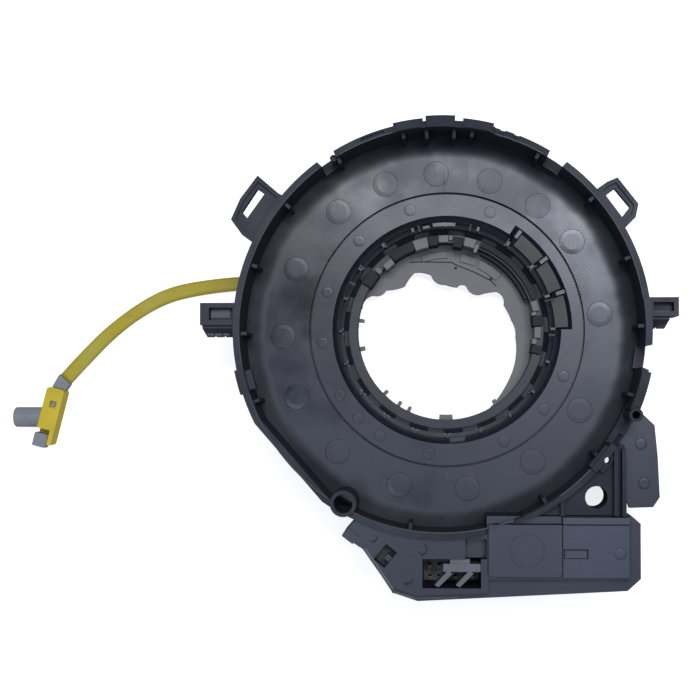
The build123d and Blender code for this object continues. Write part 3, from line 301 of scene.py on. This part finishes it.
def moulded(name, deep, pale, gloss, haze=0.06, dust=0.10, wave=0.0, matt_and_shadow=None):
    """Moulded plastic: cloudy colour and gloss, fine grain, scuffs and dust, duller on its walls, which
    painted shade darkens.

    Haze is how far the gloss varies, dust is how much of it shows and wave is the strength of the slow swell.
    A matt region is given as a centre and the two radii between which the gloss fades away and painted shadow
    darkens the colour, below a level.
    A finish that has one is also darkest on the skirt from its foot up, and on all that stands rim high.
    """
    finish = Finish(name, IOR=1.45)
    painted_shade = (deep[0] * 0.5, deep[1] * 0.5, deep[2] * 0.5, 1.0)
    cloud = finish.noise(42.0, 3.0, 0.6) * 0.55 + finish.noise(125.0, 2.0, 0.5) * 0.45
    flow = finish.noise(150.0, 3.0, 0.55, finish.stretched((1.0, 0.55, 1.0)))
    grit = finish.noise(2400.0, 2.0)
    specks = finish.band(finish.noise(1300.0, 2.0, 0.7), 0.68, 0.76)
    scuffs = finish.band(finish.noise(420.0, 4.0, 0.72, finish.stretched((1.0, 0.22, 1.0))), 0.63, 0.72)
    film = finish.band(cloud * 0.6 + finish.noise(17.0, 1.0, 0.4) * 0.4, 0.36, 0.64)
    facing = finish.node("ShaderNodeNewGeometry")["Normal"]
    rise = finish.node("ShaderNodeSeparateXYZ", None, Vector=facing)["Z"]
    wall = finish.band(finish.math("ABSOLUTE", rise), 0.35, 0.85, 1.0, 0.0)
    tint = finish.mix(film, deep, pale)
    tint = finish.mix(scuffs * 0.08, tint, scuff_grey)
    tint = finish.mix(specks * dust, tint, dust_grey)
    # Painted shade: upright faces are darkened towards half of the deep colour.
    tint = finish.mix(wall * 0.25, tint, painted_shade)
    rough = film * haze + flow * 0.05 + scuffs * 0.06 + specks * 0.15 + wall * wall_dulling
    rough = rough + (gloss - haze / 2 - 0.025)
    if matt_and_shadow:
        (x, y), start, stop, level = matt_and_shadow
        spot = finish.node("ShaderNodeSeparateXYZ", None, Vector=finish.place)
        east, north = spot["X"] - x * MM, spot["Y"] - y * MM
        reach = finish.math("SQRT", east * east + north * north)
        ragged = reach + cloud * (matt_and_shadow_ragged * MM)
        dull_and_shadow = finish.span(ragged, start + matt_and_shadow_ragged / 2, stop + matt_and_shadow_ragged / 2)
        dull_and_shadow = dull_and_shadow * finish.span(spot["Z"], level + matt_and_shadow_depth, level) * finish.span(reach, *beyond_skirt)
        sill = finish.span(reach, *sill_inside) * finish.span(reach, *sill_outside)
        sill = sill * finish.span(spot["Z"], *sill_foot)
        high = finish.math("MAXIMUM", sill, finish.span(spot["Z"], *rim_heights))
        # Painted shadow: the matt region is darkened halfway towards the painted shade colour.
        tint = finish.mix(dull_and_shadow * 0.5, tint, painted_shade)
        tint = finish.mix(high, tint, rim_black)
        rough = rough + dull_and_shadow * 0.34 + high * 0.30
    heights = grit + flow * 1.2
    if wave:
        heights = heights + finish.noise(26.0, 1.0, 0.35) * wave
        heights = heights + finish.noise(85.0, 1.0, 0.3) * (wave * 0.09)
    normal = finish.bump(heights, grain_strength, grain_height)
    return finish.feed(Base_Color=tint, Roughness=rough, Normal=normal)


weld_distance, flat_angle, corner_angle = 2e-6, math.radians(0.8), math.radians(32.0)


def dressed(node, body, finish, edge=0.18):
    """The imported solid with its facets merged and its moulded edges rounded."""
    mesh = parts[node].data.copy()
    piece = bpy.data.objects.new(node + "_moulding", mesh)
    scene.collection.objects.link(piece)
    mesh.materials.clear()
    work = bmesh.new()
    work.from_mesh(mesh)
    bmesh.ops.remove_doubles(work, verts=work.verts, dist=weld_distance)
    bmesh.ops.dissolve_limit(work, angle_limit=flat_angle, verts=work.verts, edges=work.edges)
    work.to_mesh(mesh)
    work.free()
    for attribute in [a.name for a in mesh.attributes if a.name.startswith("custom_normal")]:
        mesh.attributes.remove(mesh.attributes[attribute])
    for face in mesh.polygons:
        face.use_smooth = True
    rounding = piece.modifiers.new("rounding", "BEVEL")
    rounding.width = edge * MM
    rounding.segments = 2
    rounding.limit_method = "ANGLE"
    rounding.angle_limit = corner_angle
    rounding.harden_normals = True
    rounding.use_clamp_overlap = True
    plain = bpy.data.meshes.new_from_object(piece.evaluated_get(bpy.context.evaluated_depsgraph_get()))
    piece.modifiers.clear()
    piece.data = plain
    plain.materials.clear()
    plain.materials.append(finish)
    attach(piece, body)
    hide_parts(node)
    return piece


plate_deep, plate_pale = (0.008, 0.0095, 0.017, 1.0), (0.012, 0.014, 0.025, 1.0)
# Painted shadow: the case's matt ring darkens the plate's outer edge along the skirt wall, as the wall's
# shadow.
case_black = moulded("case_black", plate_deep, plate_pale, gloss=0.28, haze=0.19, wave=95.0,
                     matt_and_shadow=(skirt_centre, 47.6, 51.0, 21.0))
dressed("stator_case", "stator", case_black)


# Ejector marks of the back plate: fifteen low round lands where the mould's pins pushed the plate out. They
# stand in a ring about the skirt's centre and are part of the moulding.
land_sides = 36


def repeated(name, shape, spots, settings, body, finish):
    """One small shape at many spots: a node tree sets it on points that carry their own turn."""
    tree = bpy.data.node_groups.new(name, "GeometryNodeTree")
    tree.interface.new_socket("Geometry", in_out="INPUT", socket_type="NodeSocketGeometry")
    tree.interface.new_socket("Geometry", in_out="OUTPUT", socket_type="NodeSocketGeometry")
    kinds = {key: "Float" for key in ("Radius", "Chamfer", "Height", "Brim", "Crown")}
    kinds.update(Size="Vector", Tilt="Float", Finish="Material")
    ports = {key: tree.interface.new_socket(key, in_out="INPUT", socket_type="NodeSocket" + kind)
             for key, kind in kinds.items()}
    begin, end = tree.nodes.new("NodeGroupInput"), tree.nodes.new("NodeGroupOutput")

    def less(first, second):
        taken = tree.nodes.new("ShaderNodeMath")
        taken.operation = "SUBTRACT"
        tree.links.new(first, taken.inputs[0])
        tree.links.new(second, taken.inputs[1])
        return taken.outputs[0]

    def cone(foot, top, depth):
        form = tree.nodes.new("GeometryNodeMeshCone")
        form.inputs["Vertices"].default_value = land_sides
        tree.links.new(top, form.inputs["Radius Top"])
        tree.links.new(foot, form.inputs["Radius Bottom"])
        tree.links.new(depth, form.inputs["Depth"])
        return form.outputs["Mesh"]

    if shape == "land":
        inner = less(begin.outputs["Radius"], begin.outputs["Chamfer"])
        disc = cone(begin.outputs["Radius"], inner, begin.outputs["Height"])
        crown = cone(inner, less(inner, begin.outputs["Brim"]), begin.outputs["Crown"])
        raised = tree.nodes.new("ShaderNodeCombineXYZ")
        tree.links.new(begin.outputs["Height"], raised.inputs["Z"])
        lifted = tree.nodes.new("GeometryNodeTransform")
        tree.links.new(crown, lifted.inputs["Geometry"])
        tree.links.new(raised.outputs[0], lifted.inputs["Translation"])
        stacked = tree.nodes.new("GeometryNodeJoinGeometry")
        tree.links.new(lifted.outputs[0], stacked.inputs[0])
        tree.links.new(disc, stacked.inputs[0])
        shown = stacked.outputs[0]
    else:
        block = tree.nodes.new("GeometryNodeMeshCube")
        tree.links.new(begin.outputs["Size"], block.inputs["Size"])
        shown = block.outputs["Mesh"]
    turn = tree.nodes.new("GeometryNodeInputNamedAttribute")
    turn.inputs["Name"].default_value = "turn"
    lean = tree.nodes.new("ShaderNodeCombineXYZ")
    tree.links.new(begin.outputs["Tilt"], lean.inputs["Y"])
    tree.links.new(turn.outputs["Attribute"], lean.inputs["Z"])
    placed = tree.nodes.new("GeometryNodeInstanceOnPoints")
    whole = tree.nodes.new("GeometryNodeRealizeInstances")
    coat = tree.nodes.new("GeometryNodeSetMaterial")
    tree.links.new(begin.outputs["Geometry"], placed.inputs["Points"])
    tree.links.new(shown, placed.inputs["Instance"])
    tree.links.new(lean.outputs[0], placed.inputs["Rotation"])
    tree.links.new(placed.outputs[0], whole.inputs[0])
    tree.links.new(whole.outputs[0], coat.inputs["Geometry"])
    tree.links.new(begin.outputs["Finish"], coat.inputs["Material"])
    tree.links.new(coat.outputs[0], end.inputs[0])
    points = bpy.data.meshes.new(name)
    points.from_pydata([(x * MM, y * MM, z * MM) for x, y, z, _ in spots], [], [])
    turns = points.attributes.new("turn", "FLOAT", "POINT")
    turns.data.foreach_set("value", [math.radians(a) for *_, a in spots])
    piece = bpy.data.objects.new(name, points)
    scene.collection.objects.link(piece)
    growth = piece.modifiers.new("growth", "NODES")
    growth.node_group = tree
    for key, value in {**settings, "Finish": finish}.items():
        growth[ports[key].identifier] = value
    grown = bpy.data.meshes.new_from_object(piece.evaluated_get(bpy.context.evaluated_depsgraph_get()))
    piece.modifiers.clear()
    piece.data = grown
    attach(piece, body)


def around(radius, angles, z, centre=(0.0, 0.0)):
    """Spots on a circle, each turned to face outwards."""
    return [(centre[0] + radius * math.cos(math.radians(a)),
             centre[1] + radius * math.sin(math.radians(a)), z, a) for a in angles]


def land_sizes(radius, chamfer, height, brim, crown):
    """The measures of a round land, given in mm."""
    return {"Radius": radius * MM, "Chamfer": chamfer * MM, "Height": height * MM, "Brim": brim * MM,
            "Crown": crown * MM}


plate_level = 19.98
plate_lands = around(43.4, (156.5, 130.4, 110.6, 91.7, 72.0, 52.5, 34.5, 6.3, -29.7, -55.0, -80.5, -105.2,
                            -130.8, -155.7, 181.6), plate_level, skirt_centre)
repeated("plate_lands", "land", plate_lands, land_sizes(3.5, 0.16, 0.06, 1.1, 0.03), "stator",
         case_black)


# Case reliefs: the bead along the skirt's inner rim, paler than the case as a painted highlight on the rim's
# edge, the ribbed cheeks of the left clip, and the floors of both clips' pockets, the cheeks and floors pale
# grey as a painted reflection of the white table. All are part of the moulding, with edges rounded like the
# rest.
sharp_angle = math.radians(35.0)


def relief(name, prisms, body, finish, edge=0.06):
    """Small moulded forms, each an outline raised from one level to another, in one mesh."""
    work = bmesh.new()
    for outline, low, high in prisms:
        below = [work.verts.new((x * MM, y * MM, low * MM)) for x, y in outline]
        above = [work.verts.new((x * MM, y * MM, high * MM)) for x, y in outline]
        work.faces.new(below)
        work.faces.new(list(reversed(above)))
        for index in range(len(outline)):
            after = (index + 1) % len(outline)
            work.faces.new((below[index], above[index], above[after], below[after]))
    bmesh.ops.recalc_face_normals(work, faces=work.faces)
    sharp = [e for e in work.edges if len(e.link_faces) == 2 and e.calc_face_angle() > sharp_angle]
    bmesh.ops.bevel(work, geom=sharp, offset=edge * MM, segments=2, profile=0.5, affect="EDGES",
                    clamp_overlap=True)
    mesh = bpy.data.meshes.new(name)
    work.to_mesh(mesh)
    work.free()
    mesh.materials.append(finish)
    piece = bpy.data.objects.new(name, mesh)
    scene.collection.objects.link(piece)
    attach(piece, body)
    return piece


def box_outline(x0, x1, y0, y1):
    return [(x0, y0), (x1, y0), (x1, y1), (x0, y1)]


def strip(start, stop, width):
    """Outline of a narrow straight strip between two points."""
    along = Vector((stop[0] - start[0], stop[1] - start[1])).normalized() * (width / 2)
    aside = Vector((-along.y, along.x))
    return [(start[0] - aside.x, start[1] - aside.y), (stop[0] - aside.x, stop[1] - aside.y),
            (stop[0] + aside.x, stop[1] + aside.y), (start[0] + aside.x, start[1] + aside.y)]


def sector(inner, outer, start, stop, steps=8, centre=(0.0, 0.0)):
    """Outline of a piece of a flat ring."""
    angles = [math.radians(start + (stop - start) * step / steps) for step in range(steps + 1)]
    return ([(centre[0] + outer * math.cos(a), centre[1] + outer * math.sin(a)) for a in angles]
            + [(centre[0] + inner * math.cos(a), centre[1] + inner * math.sin(a)) for a in reversed(angles)])


# Painted highlight: the rim bead's grey is paler than the case's black.
rim_highlight_grey = moulded("rim_highlight_grey", (0.035, 0.038, 0.050, 1.0), (0.070, 0.075, 0.090, 1.0), gloss=0.45, dust=0.2)
bead_inner, bead_outer, bead_rise, seat = 53.42, 53.72, 0.06, 0.2
rim_beads = [(sector(bead_inner, bead_outer, start, stop, 30, skirt_centre), level - seat, level + bead_rise)
             for start, stop, level in ((127.6, 190.6, 38.0), (198.6, 236.0, 38.0), (244.0, 290.5, 37.0),
                                        (9.6, 52.2, 36.6), (59.6, 74.6, 36.6), (104.0, 120.0, 38.0),
                                        (305.6, 316.6, 37.0))]
relief("rim_beads", rim_beads, "stator", rim_highlight_grey, edge=0.08)
# Painted reflection: the clip cheeks, pocket floors and box lips are pale grey.
pale_reflection_grey = moulded("pale_reflection_grey", (0.085, 0.085, 0.092, 1.0), (0.135, 0.135, 0.145, 1.0), gloss=0.45,
                    dust=0.05)
cheek_width = 1.95
clip_cheeks = [(box_outline(x, x + cheek_width, -1.9, 1.2), 28.4, 29.3) for x in (-64.7, -62.5, -60.3)]
relief("clip_cheeks", clip_cheeks, "stator", pale_reflection_grey, edge=0.12)
floor_span = (32.7, 32.98)
clip_floors = [(box_outline(-63.2, -57.9, 2.7, 5.2), *floor_span),
               (box_outline(54.9, 58.9, 2.5, 4.5), *floor_span)]
relief("clip_floors", clip_floors, "stator", pale_reflection_grey, edge=0.1)

# Cable drum, glide sheet and flat cable: the drum cap closes the chamber in which two turns of the flat
# cable lie on a slippery film. The film is milky, the cable is a laminate of copper strips.
drum_black = moulded("drum_black", (0.007, 0.008, 0.013, 1.0), (0.011, 0.012, 0.020, 1.0), gloss=0.44)
dressed("cable_drum", "stator", drum_black)


def carried(node, finish):
    """A solid whose shape is right as it is takes its finish."""
    for slot in parts[node].material_slots:
        slot.material = finish


def sheet_film(name, deep, pale, gloss, ribs):
    """Thin plastic film: fine lengthwise lines and a cloudy gloss."""
    finish = Finish(name, IOR=1.5)
    lines = finish.noise(ribs, 2.0, 0.5, finish.stretched((0.05, 0.05, 1.0)))
    cloud = finish.noise(90.0, 3.0)
    tint = finish.mix(finish.band(lines + cloud * 0.4, 0.55, 0.85), deep, pale)
    return finish.feed(Base_Color=tint, Roughness=cloud * 0.12 + (gloss - 0.06),
                       Normal=finish.bump(lines, 0.2, 0.0001))


glide_film = sheet_film("glide_film", (0.55, 0.54, 0.50, 1.0), (0.66, 0.65, 0.60, 1.0), 0.34, 900.0)
cable_film = sheet_film("flat_cable_film", (0.16, 0.10, 0.05, 1.0), (0.30, 0.18, 0.08, 1.0), 0.28, 1800.0)
carried("glide_sheet", glide_film)
carried("flat_cable", cable_film)
carried("cable_tail", cable_film)

# Terminal box with its cover, end cover, carrier, pins and claw: black polyester mouldings snapped on to
# the case. The box holds the column harness socket, whose pins stand in the dark gap.
box_edge = 0.3
box_black = moulded("box_black", (0.011, 0.0125, 0.023, 1.0), (0.016, 0.018, 0.033, 1.0), gloss=0.30,
                    haze=0.09, wave=40.0)
cover_black = moulded("cover_black", (0.016, 0.018, 0.032, 1.0), (0.023, 0.026, 0.045, 1.0), gloss=0.29,
                      haze=0.09, wave=40.0)
end_black = moulded("end_black", (0.024, 0.029, 0.046, 1.0), (0.033, 0.039, 0.060, 1.0), gloss=0.30,
                    haze=0.09, wave=40.0)
dressed("terminal_box", "stator", box_black, edge=box_edge)
dressed("terminal_cover", "stator", cover_black, edge=box_edge)
dressed("end_cover", "stator", end_black, edge=box_edge)
# Painted highlight: the claw is mid grey for the light on its fingers, though it is a black moulding.
claw_grey = moulded("claw_grey", (0.085, 0.085, 0.090, 1.0), (0.130, 0.130, 0.138, 1.0), gloss=0.33)
dressed("connector_claw", "stator", claw_grey)
carrier_black = moulded("carrier_black", (0.014, 0.014, 0.018, 1.0), (0.022, 0.022, 0.028, 1.0), gloss=0.42)
carried("terminal_carrier", carrier_black)
carried("rotor_carrier", carrier_black)
# Painted shade: the pins' metal is darkened, as for pins standing in the shade of the dark gap; all pins and
# contacts share it.
pin_metal = Finish("pin_metal", Metallic=1.0)
pin_wear = pin_metal.noise(700.0, 3.0, 0.6)
pin_metal.feed(Base_Color=pin_metal.mix(pin_wear, (0.050, 0.048, 0.045, 1.0), (0.11, 0.105, 0.095, 1.0)),
               Roughness=pin_wear * 0.2 + 0.38, Normal=pin_metal.bump(pin_wear, 0.1, 0.00005))
for pins in ("column_pins", "wheel_pins", "horn_pins", "squib_contacts"):
    carried(pins, pin_metal.material)

# Box reliefs: ejector lands on the plates of the box, its end cover and side tab, the round witness of the
# cover's gate as a near-black ring of painted shade, the lips of the box, pale grey as a painted reflection,
# and the brown floor of its slanted window.
box_lands = [(-20.14, -55.6, 33.74, 0), (-6.92, -58.79, 33.74, 0), (-10.66, -66.54, 33.74, 0)]
small_land = land_sizes(1.6, 0.2, 0.14, 0.5, 0.03)
repeated("box_lands", "land", box_lands, small_land, "stator", box_black)
wide_land = land_sizes(1.7, 0.2, 0.14, 0.5, 0.03)
tab_lands = [(52.6, -31.2, 20.95, 0), (53.49, -41.86, 20.95, 0)]
repeated("tab_lands", "land", tab_lands, wide_land, "stator", case_black)
repeated("end_cover_land", "land", [(45.39, -59.55, 35.15, 0)], wide_land, "stator", end_black)
# Painted shade: near-black strips, rings and blocks stand where grooves and gaps lie in shade.
painted_shade_black = moulded("painted_shade_black", (0.003, 0.0035, 0.005, 1.0), (0.004, 0.0045, 0.006, 1.0), gloss=0.60,
                     dust=0.0)
gate_centre = (20.7, -59.62)
cover_circle = [(sector(5.35, 5.62, start, start + 180.0, 24, gate_centre), 35.6, 35.8)
                for start in (0.0, 180.0)]
relief("cover_circle", cover_circle, "stator", painted_shade_black, edge=0.03)
box_plate, box_flange, sunk = 34.0, 30.0, 0.1
# Painted reflection: the box lips are pale grey strips along the box's lower edge.
box_lips = [(strip((-21.8, -58.5), (-14.3, -69.4), 0.7), box_plate - sunk, box_plate + 0.12),
            (strip((-14.7, -70.3), (-8.8, -72.0), 0.8), box_flange - sunk, box_flange + 0.15),
            (strip((-8.6, -72.1), (3.0, -71.75), 0.5), box_flange - sunk, box_flange + 0.12)]
relief("box_lips", box_lips, "stator", pale_reflection_grey, edge=0.08)
window_brown = moulded("window_brown", (0.020, 0.018, 0.020, 1.0), (0.032, 0.028, 0.030, 1.0), gloss=0.50)
window_floor = [([(-16.4, -57.1), (-10.9, -61.6), (-15.2, -66.4), (-19.7, -61.9)], 27.5, 28.5)]
relief("window_floor", window_floor, "stator", window_brown)

# Rotor: the disc on the wheel side with its cable hub and its snap wall, black and plainer than the case.
rotor_black = moulded("rotor_black", (0.007, 0.008, 0.013, 1.0), (0.011, 0.012, 0.020, 1.0), gloss=0.42)
dressed("rotor", "rotor", rotor_black)

# Rotor sleeve: pressed into the rotor from the case side. Its broad flange covers the case's inner edge, and
# thin ribs and a notched toe line the bore.
# Painted shade: the sleeve's matt ring darkens the ledges deep in the bore.
sleeve_black = moulded("sleeve_black", plate_deep, plate_pale, gloss=0.29, haze=0.09, wave=80.0,
                       matt_and_shadow=((0.0, 0.0), 29.0, 27.4, 16.0))
dressed("rotor_sleeve", "rotor", sleeve_black)


# Sleeve reliefs: twelve small ejector lands on the flange, longer ribs on the far wall of the bore and a
# lit step above them.
flange_lands = around(34.3, (69.5, 107, 134.5, 162.5, 186, 211.5, 225, 238, 262, 297, 320.5, 338), 19.68)
flange_land = land_sizes(1.65, 0.14, 0.06, 0.6, 0.02)
repeated("flange_lands", "land", flange_lands, flange_land, "rotor", sleeve_black)
rib_size, rib_tilt = (2.5 * MM, 0.45 * MM, 0.7 * MM), -0.12
bore_ribs = around(29.35, (105, 76.8, 55.4, 35.6, 16.1, -2.8, 125.6, 143, 153.6), 17.1)
repeated("bore_ribs", "rib", bore_ribs, {"Size": rib_size, "Tilt": rib_tilt}, "rotor",
         sleeve_black)
bore_step = [(sector(28.7, 30.3, 85.0, 97.4), 15.6, 16.8), (sector(28.6, 29.4, 99.0, 103.0), 15.6, 16.6)]
relief("bore_step", bore_step, "rotor", sleeve_black)

# Hub plate: the wheel side's ring, seen down the bore, in a paler grey than the rest.
hub_grey = moulded("hub_grey", (0.165, 0.156, 0.148, 1.0), (0.225, 0.212, 0.198, 1.0), gloss=0.50, dust=0.05)
dressed("hub_plate", "rotor", hub_grey)


# Hub reliefs: the switch ring stands on the hub plate as grey blocks with their gaps filled by near-black
# painted shade, and a thin strip of painted shade follows the joint along its wave. Three windows of the
# sleeve's keyed sector show the same grey.
window_steps = 6


def window(name, spans, low, high, thick, body, finish):
    """Thin sloping panes between two rings, each given as (radius, level), over spans of angles."""
    work = bmesh.new()
    for start, stop in spans:
        rows = []
        for step in range(window_steps + 1):
            angle = math.radians(start + (stop - start) * step / window_steps)
            rows.append([work.verts.new((r * math.cos(angle) * MM, r * math.sin(angle) * MM, z * MM))
                         for r, z in (low, high, (high[0], high[1] - thick), (low[0], low[1] - thick))])
        for one, two in zip(rows, rows[1:]):
            for index in range(4):
                after = (index + 1) % 4
                work.faces.new((one[index], two[index], two[after], one[after]))
        work.faces.new(rows[0])
        work.faces.new(list(reversed(rows[-1])))
    bmesh.ops.recalc_face_normals(work, faces=work.faces)
    mesh = bpy.data.meshes.new(name)
    work.to_mesh(mesh)
    work.free()
    mesh.materials.append(finish)
    piece = bpy.data.objects.new(name, mesh)
    scene.collection.objects.link(piece)
    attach(piece, body)


window("key_windows", ((1.2, 16.4), (19.8, 34.0), (37.2, 51.6)), (29.9, 15.6), (33.2, 19.15), 0.3, "rotor",
       hub_grey)
hub_face, gap_top = -1.9, 8.8
switch_blocks = [(sector(*place), hub_face, top) for place, top in (
    ((24.1, 27.0, 101.5, 110.5), 8.95), ((25.0, 27.0, 88.5, 94.5), 8.95), ((25.6, 27.0, 86.0, 88.3), 8.7),
    ((24.5, 27.0, 71.5, 78.5), 8.95), ((23.6, 25.9, 68.8, 71.3), 8.3), ((24.9, 26.7, 12.5, 19.0), 8.8),
    ((24.4, 25.8, 10.0, 12.3), 8.2), ((24.7, 26.5, -4.5, 2.5), 8.8), ((24.2, 25.5, -8.5, -4.8), 8.2),
    ((23.9, 25.7, 127.0, 134.0), 8.6), ((24.6, 26.4, 136.5, 139.5), 8.8))]
relief("switch_blocks", switch_blocks, "rotor", hub_grey, edge=0.12)
switch_gaps = [(sector(*place), hub_face, gap_top) for place in (
    (24.4, 27.1, 95.2, 100.8), (23.8, 26.6, 79.2, 85.3), (24.4, 27.1, 3.2, 9.3), (24.4, 27.1, -14.0, -9.2),
    (24.4, 27.1, 111.2, 126.3), (24.4, 27.1, 140.2, 150.0))]
switch_gaps += [(sector(23.9, 25.3, 22.0, 66.0, 20), hub_face, 4.0),
                (sector(25.5, 27.1, 19.7, 68.3, 24), 8.5, gap_top)]
relief("switch_gaps", switch_gaps, "rotor", painted_shade_black, edge=0.1)
tile_top, dot_top, dot_half = -1.0, -1.3, 0.35
hub_tiles = [(sector(*place), hub_face, tile_top) for place in (
    (21.2, 23.2, 89.0, 108.0), (20.6, 23.0, 66.5, 79.0), (20.5, 23.0, 46.0, 64.5))]
relief("hub_tiles", hub_tiles, "rotor", hub_grey, edge=0.15)
# The two dark dots are painted shade.
hub_dots = [(box_outline(x - dot_half, x + dot_half, y - dot_half, y + dot_half), hub_face, dot_top)
            for x, y in ((2.83, 18.5), (12.9, 15.3))]
relief("hub_dots", hub_dots, "rotor", painted_shade_black)
wave = [(r * math.cos(math.radians(a)), r * math.sin(math.radians(a)))
        for r, a in ((22.6, 117), (21.7, 110.5), (20.7, 102), (20.2, 85.4), (19.6, 81), (19.1, 65.3),
                     (19.7, 49.1), (19.6, 42.3))]
wave_joint = [(strip(start, stop, 0.3), -1.8, -1.45) for start, stop in zip(wave, wave[1:])]
relief("wave_joint", wave_joint, "rotor", painted_shade_black, edge=0.05)

# Sockets and lead outlet on the wheel side: black housings that hang from the disc.
socket_black = moulded("socket_black", (0.007, 0.008, 0.012, 1.0), (0.011, 0.012, 0.018, 1.0), gloss=0.42)
for socket_node in ("wheel_connector", "horn_connector", "lead_outlet"):
    dressed(socket_node, "rotor", socket_black)

# Igniter plug: a yellow body with its catch, a grey barrel with its two contacts, a grey boot at the lead and
# a slide lock.
plug_yellow = moulded("plug_yellow", (0.68, 0.50, 0.016, 1.0), (0.84, 0.64, 0.03, 1.0), gloss=0.38, dust=0.05)
plug_grey = moulded("plug_grey", (0.26, 0.265, 0.28, 1.0), (0.34, 0.345, 0.36, 1.0), gloss=0.42, dust=0.05)
lock_grey = moulded("lock_grey", (0.23, 0.23, 0.24, 1.0), (0.30, 0.30, 0.31, 1.0), gloss=0.42, dust=0.05)
plug_pieces = [dressed("plug_body", "rotor", plug_yellow),
               dressed("squib_plug", "rotor", plug_grey),
               dressed("lead_boot", "rotor", plug_grey),
               dressed("squib_lock", "squib_lock", lock_grey), parts["squib_contacts"]]
plug_pieces.append(relief("plug_catch", [(box_outline(-114.7, -113.3, -21.3, -19.9), -3.6, -2.5)], "rotor",
                          plug_grey, edge=0.15))
